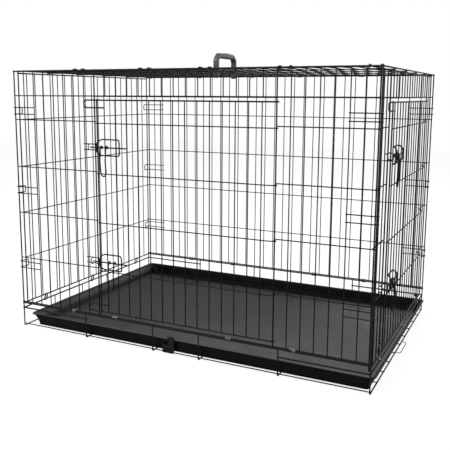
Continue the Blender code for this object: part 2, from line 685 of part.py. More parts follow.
def ring(name, place, first, second, radius, length, zinc):
    """A closed strip round two wires that run along the frame's across direction."""
    first, second = Vector((0, *first)), Vector((0, *second))
    along = (second - first).normalized()
    side = X.cross(along)
    inner = (radius + 1.5 * GAP) / EYE_COS
    outer = inner + RING_THICKNESS
    bm = bmesh.new()
    loops = []
    for reach, across in ((inner, -0.5), (inner, 0.5), (outer, 0.5), (outer, -0.5)):
        path = list(arc(first, reach, 112.5, 247.5, 3, along, side))
        path += arc(second, reach, -67.5, 67.5, 3, along, side)
        loops.append([bm.verts.new(point + across * length * X) for point in path])
    for low, high in zip(loops, loops[1:] + loops[:1]):
        for index, corner in enumerate(low):
            after = (index + 1) % len(low)
            bm.faces.new((corner, low[after], high[after], high[index]))
    piece(name, bm, place, zinc)


def rings(front, back, left, right, top, zinc):
    for prefix, place, gaps in (("front", front, FRONT_RING_GAPS), ("back", back, BACK_RING_GAPS)):
        for number, gap in enumerate(gaps, 1):
            across = gap_place(gap, FRONT_BARS, CAGE_LENGTH)
            ring(f"{prefix}_ring_{number}", place @ Matrix.Translation((across, 0, 0)),
                 (PANEL_BOTTOM, 0), (BASE_RAIL_HEIGHT, 0), RAIL_RADIUS, RING_LENGTH, zinc)
    for prefix, place, bottom, rail in (("left_end", left, LEFT_END_BOTTOM, LEFT_RAIL_HEIGHT),
                                        ("right_end", right, RIGHT_END_BOTTOM, RIGHT_RAIL_HEIGHT)):
        for number, gap in enumerate(END_RING_GAPS, 1):
            across = gap_place(gap, END_BARS, END_WIDTH)
            ring(f"{prefix}_ring_{number}", place @ Matrix.Translation((across, 0, 0)),
                 (bottom, 0), (rail, END_INSET), END_RAIL_RADIUS, END_RING_LENGTH, zinc)
    for number, gap in enumerate(TOP_RING_GAPS, 1):
        across = gap_place(gap, FRONT_BARS, CAGE_LENGTH)
        ring(f"top_ring_{number}", top @ Matrix.Translation((across, CAGE_DEPTH / 2, 0)),
             (-TOP_FRONT_GAP, 0), (0, PANEL_TOP - TOP_Z), RAIL_RADIUS, RING_LENGTH, zinc)


def build():
    clear_scene()
    steel = material("black_coated_steel", (0.022, 0.022, 0.024), 0.42, 0.35)
    plastic = material("black_plastic", (0.030, 0.030, 0.032), 0.48, 0.0)
    zinc = material("zinc_plated_steel", (0.55, 0.55, 0.54), 0.35, 0.9)
    front = plane((0, -CAGE_DEPTH / 2, 0), X, Z)
    back = plane((0, CAGE_DEPTH / 2, 0), -X, Z)
    left = plane((-END_X, 0, 0), -Y, Z)
    right = plane((END_X, 0, 0), Y, Z)
    top = plane((0, 0, TOP_Z), X, Y)
    base_grid(steel)
    front_panel(front, steel)
    back_panel(back, steel)
    end_panel("left_end_panel", left, steel, LEFT_END_BOTTOM)
    end_panel("right_end_panel", right, steel, RIGHT_END_BOTTOM, DOOR_FIRST_END)
    top_panel(top, steel)
    door_set("front", Doorway(FRONT_BARS, CAGE_LENGTH, DOOR_FIRST_FRONT, PANEL_BOTTOM),
             front, steel)
    door_set("end", Doorway(END_BARS, END_WIDTH, DOOR_FIRST_END, RIGHT_END_BOTTOM), right, steel)
    tray(plastic)
    tray_catch(plastic)
    tray_stop(steel)
    carry_handle(top, plastic)
    rings(front, back, left, right, top, zinc)


build()
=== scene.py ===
"""Looks for the folding wire pet cage: round wires, welds, moulded plastic, a plain studio."""
import math

import bmesh
import bpy
from mathutils import Matrix, Vector


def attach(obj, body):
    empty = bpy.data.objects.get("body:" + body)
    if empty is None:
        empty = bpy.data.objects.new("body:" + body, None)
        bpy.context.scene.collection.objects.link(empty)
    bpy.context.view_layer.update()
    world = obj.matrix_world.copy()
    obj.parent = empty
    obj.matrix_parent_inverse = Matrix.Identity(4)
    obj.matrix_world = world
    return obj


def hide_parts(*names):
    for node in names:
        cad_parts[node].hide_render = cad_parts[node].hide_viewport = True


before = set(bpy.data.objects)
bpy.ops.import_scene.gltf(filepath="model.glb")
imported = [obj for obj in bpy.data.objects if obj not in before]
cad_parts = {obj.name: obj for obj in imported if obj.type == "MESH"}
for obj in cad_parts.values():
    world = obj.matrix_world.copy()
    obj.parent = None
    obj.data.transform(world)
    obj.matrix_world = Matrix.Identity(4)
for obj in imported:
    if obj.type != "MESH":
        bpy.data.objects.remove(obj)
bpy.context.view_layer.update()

# Lengths in metres. Places along X are counted from the middle of the cage, and MIDDLE moves them
# to the frame's origin.
MIDDLE = Matrix.Translation((0.072, 0, 0))
CAGE_LENGTH = 1.070
CAGE_DEPTH = 0.710
PANEL_BOTTOM = 0.078
PANEL_HEIGHT = 0.692
LEFT_END_BOTTOM = 0.076
RIGHT_END_BOTTOM = 0.057
END_INSET = 0.0065
END_DROP = 0.0052
END_SIDE_GAP = 0.0100
RAIL_SHARES = (0.10, 0.20, 0.40, 0.60, 0.80)     # level wires, down from the panel's top

# Radii of the round wires
WIRE = 0.00148
RAIL = 0.00205
POST = 0.00193
BASE = 0.00185
END_SIDE_RAIL = 0.00215
END_CROSS_RAIL = 0.00225
LATCH = 0.00195
GUIDE = 0.00193
PULL = 0.00183
STAPLE = 0.00122
STOP_WIRE = 0.00098
GAP = 0.0003                          # between wires that touch
NUB = 0.0015                          # wire that sticks out past a crossing
LOWER_NUB = NUB * 0.3                 # the same, below a panel

# Radii of the frame's six-sided wires, whose places the round wires keep
FRAME_WIRE, FRAME_RAIL, FRAME_POST, FRAME_BASE = 0.0015, 0.0021, 0.0020, 0.0019
FRAME_LATCH, FRAME_GUIDE, FRAME_PULL = 0.0020, 0.0020, 0.0019
FRAME_STAPLE, FRAME_STOP, FRAME_END_RAIL = 0.00125, 0.0010, 0.0023

# Where a wire passes another, and how far a layer of wires stands out of its panel's plane
FLAT = math.cos(math.pi / 6)
FLAT_WIRE = FRAME_WIRE * FLAT
WELD_STEP = 2 * FLAT_WIRE + GAP
OVER_POST = FRAME_POST + FRAME_WIRE + GAP
EYE_PLAY = 0.00035
DOOR_OUT = (FRAME_POST + FRAME_RAIL + GAP) / math.cos(math.pi / 8)
PULL_EYE = (FRAME_LATCH + FRAME_PULL + GAP) / FLAT
BOLT_OUT = DOOR_OUT + FLAT_WIRE + 2 * GAP + PULL_EYE + FRAME_PULL
GUIDE_OUT = BOLT_OUT + FRAME_LATCH + GAP + FRAME_GUIDE

# Welds: the radius of the bead for each pair of wires, and how much longer than wide it is
ON_RAIL = RAIL * 1.12
ON_POST = WIRE
ON_WIRE = WIRE * 0.95
ON_FLOOR = WIRE * 1.1
ON_SIDE_RAIL = RAIL * 1.15
ON_END_UPRIGHT = RAIL * 1.1
ON_END_RAIL = RAIL * 1.2
ON_END_CORNER = RAIL * 1.25
BEAD_STRETCH = 1.5

# Ends, bends and edges
CUT_EASE, CUT_RADIUS = 0.3, 0.72      # a cut end's soft edge, as shares of the wire's radius
INTO_RAIL = RAIL * 0.9                # how far an upright goes into a rail
INTO_POST = POST * 0.8                # where a level wire stops in a doorway's bar
STRAIGHT, SHARP = math.radians(179), math.radians(50)
BEND_LIMIT = 0.48                     # a bend takes up to this share of each side
BEND = 0.005
HOOK_BEND, GUIDE_BEND, TOP_HOOK_BEND = 0.0045, 0.006, 0.0042
EYE_BEND, PULL_BEND, STOP_BEND = 0.003, 0.004, 0.004
SAME_POINT = 1e-7

# Doors, bolts and their pulls
FRONT_BARS = 31
END_BARS = 21
DOOR_FIRST_FRONT = 8
DOOR_FIRST_END = 3
DOOR_PITCHES = 15
DOOR_POST_STEP = 0.0112
DOOR_TOP_DROP = 0.0108
DOOR_BOTTOM_RISE = 0.014
DOOR_RAIL_DROP = 0.0042
FINGER_REACH = 0.032
FINGER_HEIGHT = 0.0205
FINGER_BEND = FINGER_HEIGHT * 0.45
RAIL_EYE_START, WIRE_EYE_START, WIRE_EYE_EASE = 0.012, 0.011, 0.003
WIRE_EYE_LIFT = 0.0002
HINGE_CURL = (90, -195, 18)           # an eye's first and last angle, and its steps
BOLT_HEIGHTS = {"upper": 0.562, "lower": 0.240}
BOLT_TIP = -0.0078
BOLT_EDGE = 0.0012
BOLT_LENGTH = 0.118
STAPLE_STEP = 0.0113
STAPLE_HEIGHT = 0.016
GUIDE_START = 0.0178
GUIDE_LENGTH = 0.0737
GUIDE_HEIGHT = 0.044
GUIDE_EASE = 0.008
PULL_STEPS = {"upper": 0.0385, "lower": 0.0565}
PULL_WIDTH = 0.0175
PULL_LENGTH = 0.078
PULL_NECK = 0.006
PULL_BULGE = 0.0035
PULL_BULGE_SHARE = 0.45               # down the pull's length
PULL_CURL = (240, 5, 14)

# Corner hooks and top
HOOK_SHARES = (0.163, 0.50, 0.83)     # down from the panel's top
HOOK_HEIGHT = 0.019
HOOK_BARS = 2
HOOK_REACH = 0.025
TOP_SIDE_GAP = 0.004
TOP_FRONT_GAP = 0.011
TOP_HOOK_GAPS = (6, 12, 17, 23, 29)
TOP_HOOK_WIDTH = 0.027
TOP_HOOK_DROP = 0.010
TOP_RAIL_SHARES = (-0.3, -0.1, 0.1, 0.3)

# Base
BASE_STEP = 0.071
FLOOR_STEPS = range(-4, 5)
EDGE_WIRE_INSET = 0.008
CROSS_INSET = 0.235
CROSS_NEAR = 0.072
LEFT_RAIL_HEIGHT = 0.058
RIGHT_RAIL_HEIGHT = 0.0525
LEFT_UPRIGHTS = (-3, -1, 1, 3)
LEFT_UPRIGHT_NUB = 0.002

# Tray; its flares are at the sides, the left end and the right end
TRAY_LEFT_INSET = 0.042
TRAY_RIGHT_INSET = 0.007
TRAY_SIDE_INSET = 0.015
TRAY_TOP = 0.0400
TRAY_FLARES = (0.0020, 0.0200, 0.0120)
TRAY_CURVE = 1.74
TRAY_CURVE_STEPS = 8
TRAY_LIP_WIDTH = 0.005
TRAY_LIP_DEPTH = 0.0035
TRAY_WALL = 0.002
TRAY_CORNER = 0.008
TRAY_EDGE = 0.0008
TRAY_FILLET = 0.0025
EDGE_CUT = 0.3                        # a two-step edge is cut at this share of its size

# Tray catch and tray stop
CATCH_AT = -0.027
CATCH_WIDTH = 0.032
CATCH_TAB_WIDTH = 0.020
CATCH_TAB_SHIFT = 0.0105
CATCH_BOSS_HEIGHT = 0.024
CATCH_HEIGHT = 0.050
CATCH_THICKNESS = 0.0026
CATCH_BARREL = 0.0038
CATCH_HOOK = 0.005
CATCH_PLAY = 0.0008
CATCH_BEVEL = 0.0006
BARREL_EDGE, BARREL_EDGE_WIDTH = 0.0005, 0.0004
BARREL_CIRCLE = (0, 345, 23)
STOP_AT = -0.016
STOP_WIDTH = 0.090
STOP_LENGTH = 0.014
STOP_CORNER = STOP_WIDTH / 16
STOP_SEAT = 0.0002

# Carrying handle
HANDLE_AT = -0.050
HANDLE_SPAN = 0.1185
HANDLE_RISE = 0.0475
HANDLE_WIDTH = 0.0175
HANDLE_LEG = 0.012
HANDLE_THICKNESS = 0.015
HANDLE_FOOT = 0.0175
HANDLE_CROWN, HANDLE_SHOULDER = 0.5, 0.35                   # shares of its width, above its rise
HANDLE_OUTER, HANDLE_INNER, HANDLE_UNDER = 0.6, 0.8, 0.45   # and below it
HANDLE_RIDGES = 9
HANDLE_RIDGE = 0.0012
RIDGE_UNDER, RIDGE_FIRST, RIDGE_STEP = 0.47, 0.8, 0.2
HANDLE_BEND = 0.006
HANDLE_BEVEL = 0.0028

# Clips, the metal strips that join the panels
RING_THICKNESS = 0.0012
RING_PLAY = 1.5 * GAP
RING_EDGE = 0.0003
RING_STEPS = 12
RING_LENGTH = 0.016
END_RING_LENGTH = 0.006
FRONT_RING_GAPS = (5, 9, 19, 24)
BACK_RING_GAPS = (5, 10, 19, 24)
END_RING_GAPS = (2, 10, 17)
TOP_RING_GAPS = (0, 6, 12, 17, 23, 29)

# Places that follow
PANEL_TOP = PANEL_BOTTOM + PANEL_HEIGHT
END_TOP = PANEL_TOP - END_DROP
RAIL_HEIGHTS = [PANEL_TOP - share * PANEL_HEIGHT for share in RAIL_SHARES]
HALF_LENGTH, HALF_DEPTH = CAGE_LENGTH / 2, CAGE_DEPTH / 2
END_X = HALF_LENGTH - END_INSET
END_WIDTH = CAGE_DEPTH - 2 * END_SIDE_GAP
CROSS_FAR = HALF_LENGTH - CROSS_INSET
CROSS_PLACES = (-HALF_LENGTH, -CROSS_FAR, -CROSS_NEAR, CROSS_NEAR, CROSS_FAR, HALF_LENGTH)
TOP_Z = END_TOP + FRAME_RAIL + GAP + WELD_STEP + FLAT_WIRE
BASE_RAIL_HEIGHT = PANEL_BOTTOM - 2 * FRAME_RAIL - GAP
CROSS_Z = FRAME_BASE * FLAT
FLOOR_WIRE_Z = 2 * CROSS_Z + FLAT_WIRE - GAP
TRAY_Z = FLOOR_WIRE_Z + FLAT_WIRE + GAP
X, Y, Z = Vector((1, 0, 0)), Vector((0, 1, 0)), Vector((0, 0, 1))

NOISE_LOW, NOISE_HIGH = 0.3, 0.7      # most of a noise lies between these

# Studio and camera; the camera's place is counted from the middle of the cage, as the cage's own are
FLOOR_SIZE, FLOOR_Z = 14, -0.0004
FLOOR_WHITE = (0.86, 0.86, 0.86)
FLOOR_PLAIN = 0.82                    # how much of the floor the camera sees as plain white
FLOOR_SEEN, FLOOR_MIRRORED = 1.08, 0.22
WORLD_LIGHT, WORLD_SEEN = 0.55, 1.0
LAMPS = (("key", (-1.6, -2.2, 2.6), 1.8, 55),
         ("fill", (2.6, -1.4, 1.6), 1.6, 25),
         ("back", (0.4, 2.4, 2.4), 2.0, 35))     # name, place, size, watts
LAMP_AIM = (0.07, 0, 0.35)
CAMERA_PLACE = (0.8661, -1.8347, 0.7051)
CAMERA_YAW, CAMERA_PITCH, CAMERA_ROLL = (math.radians(angle) for angle in (-26.17, -9.162, 0.268))
CAMERA_LENS, CAMERA_SENSOR = 52.62, 36
CAMERA_SHIFT_X, CAMERA_SHIFT_Y = 0.0082, -0.0529
CAMERA_REACH = 50


def plane(origin, across, up):
    """A panel's plane: points are given as across, up and out of it."""
    turn = Matrix((across, up, across.cross(up))).transposed().to_4x4()
    return MIDDLE @ Matrix.Translation(origin) @ turn


# Materials

def shader(name, colour, roughness, metallic, specular):
    """A material, and its main node."""
    made = bpy.data.materials.new(name)
    made.use_nodes = True
    main = made.node_tree.nodes["Principled BSDF"]
    main.inputs["Base Color"].default_value = (*colour, 1)
    main.inputs["Roughness"].default_value = roughness
    main.inputs["Metallic"].default_value = metallic
    main.inputs["Specular IOR Level"].default_value = specular
    return made, main


def noise(made, scale, detail, roughness=0.5):
    """A noise over the object, as the factor that it puts out."""
    nodes, links = made.node_tree.nodes, made.node_tree.links
    place = nodes.new("ShaderNodeTexCoord")
    texture = nodes.new("ShaderNodeTexNoise")
    texture.inputs["Scale"].default_value = scale
    texture.inputs["Detail"].default_value = detail
    texture.inputs["Roughness"].default_value = roughness
    links.new(place.outputs["Object"], texture.inputs["Vector"])
    return texture.outputs["Fac"]


def vary_roughness(made, main, source, low, high):
    """The roughness runs from low to high over the middle of the noise."""
    node = made.node_tree.nodes.new("ShaderNodeMapRange")
    node.inputs["From Min"].default_value = NOISE_LOW
    node.inputs["From Max"].default_value = NOISE_HIGH
    node.inputs["To Min"].default_value = low
    node.inputs["To Max"].default_value = high
    made.node_tree.links.new(source, node.inputs["Value"])
    made.node_tree.links.new(node.outputs["Result"], main.inputs["Roughness"])


def tint(made, main, source, dark, light, start=0.35, end=0.65):
    """The colour runs from dark to light as the noise runs from start to end."""
    ramp = made.node_tree.nodes.new("ShaderNodeValToRGB")
    ramp.color_ramp.elements[0].position = start
    ramp.color_ramp.elements[0].color = (*dark, 1)
    ramp.color_ramp.elements[1].position = end
    ramp.color_ramp.elements[1].color = (*light, 1)
    made.node_tree.links.new(source, ramp.inputs["Fac"])
    made.node_tree.links.new(ramp.outputs["Color"], main.inputs["Base Color"])


def bump(made, main, source, strength, distance):
    """The noise stands up from the surface."""
    node = made.node_tree.nodes.new("ShaderNodeBump")
    node.inputs["Strength"].default_value = strength
    node.inputs["Distance"].default_value = distance
    made.node_tree.links.new(source, node.inputs["Height"])
    made.node_tree.links.new(node.outputs["Normal"], main.inputs["Normal"])


def coated_wire(name, base, roughness):
    """Black dip coating on steel: a little orange peel, thinner and duller in places."""
    made, main = shader(name, (base, base, base * 1.06), roughness, metallic=0.0, specular=0.18)
    drift = noise(made, scale=28, detail=2)
    peel = noise(made, scale=900, detail=2)
    tint(made, main, drift, (base * 0.7,) * 3, (base * 1.5, base * 1.5, base * 1.6))
    vary_roughness(made, main, peel, roughness - 0.08, roughness + 0.12)
    bump(made, main, peel, strength=0.25, distance=0.0002)
    return made


def moulded(name, base, roughness, specular, grain, strength):
    """Black moulded plastic with a fine grain and slightly uneven gloss."""
    made, main = shader(name, (base, base, base), roughness, metallic=0.0, specular=specular)
    drift = noise(made, scale=14, detail=3)
    fine = noise(made, scale=grain, detail=4, roughness=0.6)
    tint(made, main, drift, (base * 0.8,) * 3, (base * 1.3,) * 3)
    vary_roughness(made, main, drift, roughness - 0.05, roughness + 0.07)
    bump(made, main, fine, strength, distance=0.0003)
    return made


def zinc_plate():
    """Dull, smoke-blackened zinc with a few brighter patches."""
    made, main = shader("zinc_plate", (0.12, 0.12, 0.12), roughness=0.4, metallic=0.9, specular=0.5)
    drift = noise(made, scale=180, detail=3)
    tint(made, main, drift, (0.03, 0.03, 0.03), (0.30, 0.30, 0.29), start=0.40, end=0.70)
    vary_roughness(made, main, drift, low=0.32, high=0.50)
    bump(made, main, drift, strength=0.2, distance=0.0002)
    return made


STEEL = coated_wire("black_coated_wire", base=0.003, roughness=0.48)
BOLT_STEEL = coated_wire("black_coated_bolt", base=0.003, roughness=0.40)
TRAY_PLASTIC = moulded("black_tray_plastic", base=0.003, roughness=0.30, specular=0.15,
                       grain=1400, strength=0.12)
HANDLE_PLASTIC = moulded("black_handle_plastic", base=0.020, roughness=0.32, specular=0.80,
                         grain=1800, strength=0.20)
SMALL_PLASTIC = moulded("black_moulded_plastic", base=0.005, roughness=0.42, specular=0.25,
                        grain=1800, strength=0.20)
ZINC = zinc_plate()


# Wires

def smoothed(points, bend, closed, steps=5):
    """Round each corner of a path with a curve that starts bend before it."""
    points = [Vector(point) for point in points]
    result = []
    count = len(points)
    for index, point in enumerate(points):
        if not closed and index in (0, count - 1):
            result.append(point)
            continue
        before, after = points[index - 1], points[(index + 1) % count]
        into, away = before - point, after - point
        if into.angle(away) > STRAIGHT:
            result.append(point)
            continue
        start = point + into.normalized() * min(bend, BEND_LIMIT * into.length)
        end = point + away.normalized() * min(bend, BEND_LIMIT * away.length)
        for step in range(steps + 1):
            share = step / steps
            result.append(start.lerp(point, share).lerp(point.lerp(end, share), share))
    return result


class Wires:
    """Round wires of one piece, gathered as the splines of a curve."""

    def __init__(self, name, resolution=3):
        self.curve = bpy.data.curves.new(name, "CURVE")
        self.curve.dimensions = "3D"
        self.curve.bevel_depth = 1.0
        self.curve.bevel_resolution = resolution
        self.curve.use_fill_caps = True
        self.name = name
        self.beads = []

    def path(self, points, radius, closed=False):
        """A wire through the points; where it is cut, its end has a soft edge."""
        radii = [radius] * len(points)
        if not closed:
            ease = CUT_EASE * radius
            first, last = points[0], points[-1]
            start = first + (points[1] - first).normalized() * ease
            end = last + (points[-2] - last).normalized() * ease
            points = [first, start] + list(points[1:-1]) + [end, last]
            cut = CUT_RADIUS * radius
            radii = [cut, radius] + [radius] * (len(points) - 4) + [radius, cut]
        spline = self.curve.splines.new("POLY")
        spline.points.add(len(points) - 1)
        spline.use_cyclic_u = closed
        for index, point in enumerate(points):
            spline.points[index].co = (*point, 1)
            spline.points[index].radius = radii[index]

    def straight(self, start, end, radius):
        """A wire from start to end."""
        self.path([Vector(start), Vector(end)], radius)

    def bent(self, points, radius, bend, closed=False):
        """A wire through the points, with its corners rounded."""
        self.path(smoothed(points, bend, closed), radius, closed)

    def bead(self, point, along, radius):
        """A weld where two wires cross."""
        self.beads.append((Vector(point), along, radius))

    def finish(self, place, body, nodes, steel=None):
        """Make the mesh, put it in its place and let it ride on its body for its nodes."""
        holder = bpy.data.objects.new(self.name + "_path", self.curve)
        bpy.context.scene.collection.objects.link(holder)
        graph = bpy.context.evaluated_depsgraph_get()
        mesh = bpy.data.meshes.new_from_object(holder.evaluated_get(graph))
        bpy.data.objects.remove(holder)
        bm = bmesh.new()
        bm.from_mesh(mesh)
        bmesh.ops.remove_doubles(bm, verts=bm.verts, dist=SAME_POINT)
        if self.beads:
            bm.from_mesh(bead_mesh(self.beads))
        bm.transform(place)
        piece(self.name, bm, body, nodes, steel or STEEL, mesh)


def bead_mesh(beads, around=8, rows=4):
    """One mesh of many small egg-shaped welds, each a stretched ball."""
    corners, faces = [], []
    for point, along, radius in beads:
        turn = along.to_track_quat("Z", "Y").to_matrix()
        first = len(corners)
        for row in range(1, rows):
            fall = math.pi * row / rows
            for step in range(around):
                angle = 2 * math.pi * step / around
                ball = Vector((math.sin(fall) * math.cos(angle), math.sin(fall) * math.sin(angle),
                               BEAD_STRETCH * math.cos(fall)))
                corners.append(point + radius * (turn @ ball))
        for row in range(rows - 2):
            for step in range(around):
                low, after = first + row * around, (step + 1) % around
                faces.append((low + step, low + after, low + around + after, low + around + step))
        faces.append(range(first, first + around))
        faces.append(range(len(corners) - around, len(corners)))
    mesh = bpy.data.meshes.new("beads")
    mesh.from_pydata(corners, [], faces)
    return mesh


def piece(name, bm, body, nodes, finish, mesh=None, angle=42):
    """One visible piece, which rides on a body and stands for nodes; angle parts flat from smooth."""
    mesh = mesh or bpy.data.meshes.new(name)
    bmesh.ops.recalc_face_normals(bm, faces=bm.faces)
    bm.to_mesh(mesh)
    bm.free()
    mesh.name = name
    mesh.shade_smooth()
    mesh.set_sharp_from_angle(angle=math.radians(angle))
    mesh.materials.clear()
    mesh.materials.append(finish)
    made = bpy.data.objects.new(name, mesh)
    bpy.context.scene.collection.objects.link(made)
    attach(made, body)
    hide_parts(*nodes)


def arc(centre, radius, first, last, steps, toward, across):
    """Points on an arc; its angles are in degrees, from toward to across."""
    for step in range(steps + 1):
        angle = math.radians(first + (last - first) * step / steps)
        yield centre + radius * (math.cos(angle) * toward + math.sin(angle) * across)


def bar_places(count, width):
    """Where the upright wires of a panel stand."""
    return [width * (index / (count - 1) - 0.5) for index in range(count)]


def gap_place(gap, count, width):
    """The middle of the gap after an upright wire."""
    places = bar_places(count, width)
    return (places[gap] + places[gap + 1]) / 2


# Panels

def grille(wires, width, count, bottom, top, door_first=None):
    """A panel's upright, level and edge wires, and its doorway from the bar door_first on."""
    places = bar_places(count, width)
    posts = {0, count - 1}
    header = RAIL_HEIGHTS[0]
    inside = -WELD_STEP
    with_door = door_first is not None
    near_bar, far_bar = (door_first, door_first + DOOR_PITCHES) if with_door else (-1, count)
    if with_door:
        posts |= {near_bar, far_bar}
    for index, across in enumerate(places):
        in_doorway = with_door and near_bar < index < far_bar
        foot = header if in_doorway else bottom
        if index in posts:
            wires.straight((across, bottom - RAIL - LOWER_NUB, 0), (across, top + RAIL + NUB, 0), POST)
        else:
            wires.straight((across, foot - INTO_RAIL, 0), (across, top + INTO_RAIL, 0), WIRE)
        for height in (foot, top):
            wires.bead((across, height, 0), X, ON_RAIL)
        if not in_doorway:
            for height in RAIL_HEIGHTS:
                wires.bead((across, height, inside / 2), X, ON_WIRE)
    for height in (bottom, top):
        wires.straight((places[0] - NUB, height, 0), (places[-1] + NUB, height, 0), RAIL)
    start, end = places[0] - POST, places[-1] + POST
    for height in RAIL_HEIGHTS:
        if with_door:
            near, far = places[near_bar] + INTO_POST, places[far_bar] - INTO_POST
            wires.straight((start, height, inside), (near, height, inside), WIRE)
            wires.straight((far, height, inside), (end, height, inside), WIRE)
        else:
            wires.straight((start, height, inside), (end, height, inside), WIRE)
    if with_door:
        wires.straight((places[near_bar], header, 0), (places[far_bar], header, 0), RAIL)


def corner_hooks(wires):
    """Hairpins that cross the last bars, turn the corner and grip the end panel."""
    pitch = CAGE_LENGTH / (FRONT_BARS - 1)
    turn_in = END_SIDE_GAP - FRAME_POST - GAP
    beside = END_INSET - FRAME_POST - FRAME_WIRE - GAP
    half = HOOK_HEIGHT / 2
    for share in HOOK_SHARES:
        height = PANEL_TOP - share * PANEL_HEIGHT
        for side in (-1, 1):
            start = side * (HALF_LENGTH - HOOK_BARS * pitch - FRAME_POST)
            corner = side * (HALF_LENGTH + OVER_POST)
            tip = side * (HALF_LENGTH - beside)
            arm = [(start, OVER_POST), (corner, OVER_POST), (corner, -turn_in),
                   (tip, -END_SIDE_GAP - FRAME_POST), (tip, -HOOK_REACH)]
            path = [(across, height + half, out) for across, out in arm]
            path += [(across, height - half, out) for across, out in reversed(arm)]
            wires.bent(path, WIRE, HOOK_BEND)
            for bar in range(HOOK_BARS + 1):
                for level in (height - half, height + half):
                    wires.bead((side * (HALF_LENGTH - bar * pitch), level, OVER_POST / 2), Z, ON_POST)


def keepers(wires, places, door_first):
    """Beside each bolt, two level wires and the staple that the bolt goes into."""
    near, far = places[door_first] + FRAME_POST, places[door_first - 1] - NUB
    across = places[door_first] - STAPLE_STEP
    half = STAPLE_HEIGHT / 2
    out = BOLT_OUT + FRAME_LATCH + GAP + FRAME_STAPLE
    for height in BOLT_HEIGHTS.values():
        for level in (height - half, height + half):
            wires.straight((near, level, OVER_POST), (far, level, OVER_POST), WIRE)
            for bar in (places[door_first], places[door_first - 1]):
                wires.bead((bar, level, OVER_POST / 2), Z, ON_POST)
        wires.bent([(across, height - half, OVER_POST), (across, height - half, out),
                    (across, height + half, out), (across, height + half, OVER_POST)], STAPLE, BEND)


def panels(front, back, left, right):
    """The four upright panels, with their hooks and keepers."""
    hooks = [f"corner_hook_{number}" for number in range(1, 2 * len(HOOK_SHARES) + 1)]
    wires = Wires("front_grille")
    grille(wires, CAGE_LENGTH, FRONT_BARS, PANEL_BOTTOM, PANEL_TOP, DOOR_FIRST_FRONT)
    corner_hooks(wires)
    keepers(wires, bar_places(FRONT_BARS, CAGE_LENGTH), DOOR_FIRST_FRONT)
    nodes = ["front_panel", "front_upper_keeper", "front_lower_keeper"]
    nodes += [f"front_{hook}" for hook in hooks]
    wires.finish(front, "frame", nodes)
    wires = Wires("back_grille")
    grille(wires, CAGE_LENGTH, FRONT_BARS, PANEL_BOTTOM, PANEL_TOP)
    corner_hooks(wires)
    nodes = ["back_panel"] + [f"back_{hook}" for hook in hooks]
    wires.finish(back, "frame", nodes)
    wires = Wires("left_end_grille")
    grille(wires, END_WIDTH, END_BARS, LEFT_END_BOTTOM, END_TOP)
    wires.finish(left, "left_end", ["left_end_panel"])
    wires = Wires("right_end_grille")
    grille(wires, END_WIDTH, END_BARS, RIGHT_END_BOTTOM, END_TOP, DOOR_FIRST_END)
    keepers(wires, bar_places(END_BARS, END_WIDTH), DOOR_FIRST_END)
    nodes = ["right_end_panel", "end_upper_keeper", "end_lower_keeper"]
    wires.finish(right, "right_end", nodes)


# Doors

class Doorway:
    """Where a door's bars, edges and hinge are in its panel's plane."""

    def __init__(self, count, width, first, panel_bottom):
        places = bar_places(count, width)
        self.latch = places[first]
        self.hinge = places[first + DOOR_PITCHES]
        self.bars = places[first + 1:first + DOOR_PITCHES]
        self.bottom = panel_bottom + DOOR_BOTTOM_RISE
        self.top = RAIL_HEIGHTS[0] - DOOR_TOP_DROP
        self.post = self.latch + DOOR_POST_STEP


def hinge_eye(doorway, height, radius):
    """The end of a door's wire, curled round the hinge bar."""
    centre = Vector((doorway.hinge, height, 0))
    return list(arc(centre, FRAME_POST + radius + EYE_PLAY, *HINGE_CURL, X, Z))


def door_frame_wire(wires, doorway, height, toward_middle):
    """A door's top or bottom wire, from its finger loop to its hinge eye."""
    tip = doorway.latch - FINGER_REACH
    back = height + toward_middle * FINGER_HEIGHT
    loop = [(doorway.bars[0] + NUB, back, DOOR_OUT), (tip, back, DOOR_OUT),
            (tip, height, DOOR_OUT), (doorway.hinge - RAIL_EYE_START, height, DOOR_OUT)]
    eye = hinge_eye(doorway, height, FRAME_RAIL)
    wires.path(smoothed(loop, FINGER_BEND, False, 8) + eye, RAIL)


def door(name, doorway, place, body, nodes):
    """A door with its hinge eyes, its finger loops and its two bolt guides."""
    wires = Wires(name)
    for across in doorway.bars:
        wires.straight((across, doorway.bottom - RAIL, DOOR_OUT),
                       (across, doorway.top + RAIL, DOOR_OUT), WIRE)
        for height in (doorway.bottom, doorway.top):
            wires.bead((across, height, DOOR_OUT), X, ON_RAIL)
    wires.straight((doorway.post, doorway.bottom - FRAME_RAIL - NUB, DOOR_OUT),
                   (doorway.post, doorway.top + FRAME_RAIL + NUB, DOOR_OUT), POST)
    door_frame_wire(wires, doorway, doorway.top, -1)
    door_frame_wire(wires, doorway, doorway.bottom, 1)
    out = DOOR_OUT + WELD_STEP
    for height in RAIL_HEIGHTS[1:]:
        level = height - DOOR_RAIL_DROP
        eye = hinge_eye(doorway, level, FRAME_WIRE)
        path = [(doorway.post - FRAME_POST, level, out), (doorway.hinge - WIRE_EYE_START, level, out),
                (doorway.hinge - WIRE_EYE_EASE, level, eye[0].z + WIRE_EYE_LIFT)]
        wires.path(smoothed(path, EYE_BEND, False, 4) + eye, WIRE)
        for across in [doorway.post] + doorway.bars:
            wires.bead((across, level, DOOR_OUT + WELD_STEP / 2), X, ON_WIRE)
    for height in BOLT_HEIGHTS.values():
        bolt_guide(wires, doorway, height)
    wires.finish(place, body, nodes)


